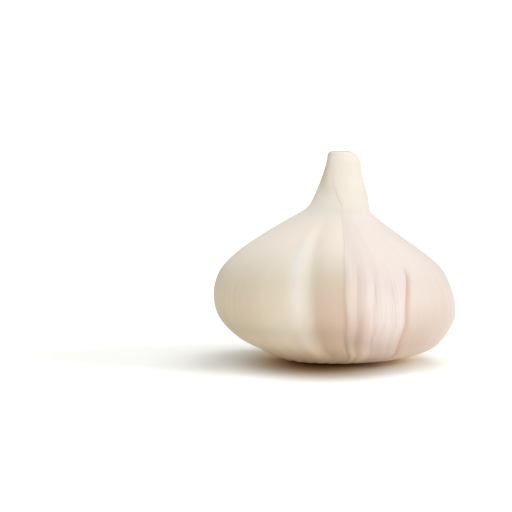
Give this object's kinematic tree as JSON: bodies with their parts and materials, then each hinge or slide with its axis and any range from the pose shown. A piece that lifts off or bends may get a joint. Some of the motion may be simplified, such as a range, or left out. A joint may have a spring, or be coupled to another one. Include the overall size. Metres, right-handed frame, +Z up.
{
  "type": "garlic bulb",
  "caption": "Whole head of garlic standing upright: squat lobed body in papery pleated skin, short cut neck on top, round corky root plate under it to rest on.",
  "frame": {"origin": "centre of the root plate's flat cut face, which the bulb rests on", "axes": "+Z up along the bulb towards the cut neck, +X to the right as seen from the front, -Y out of the front, where the wrapper leaf's free edge and its pleats are"},
  "size_m": [0.06, 0.0584, 0.0519],
  "materials": {
    "papery_skin": "satin dry skin, cream under a pinkish wrapper leaf",
    "root_plate": "matt tan cork with a brown rim"
  },
  "bodies": {
    "root": {"bulb": "papery_skin", "root_plate": "root_plate"}
  },
  "joints": []
}
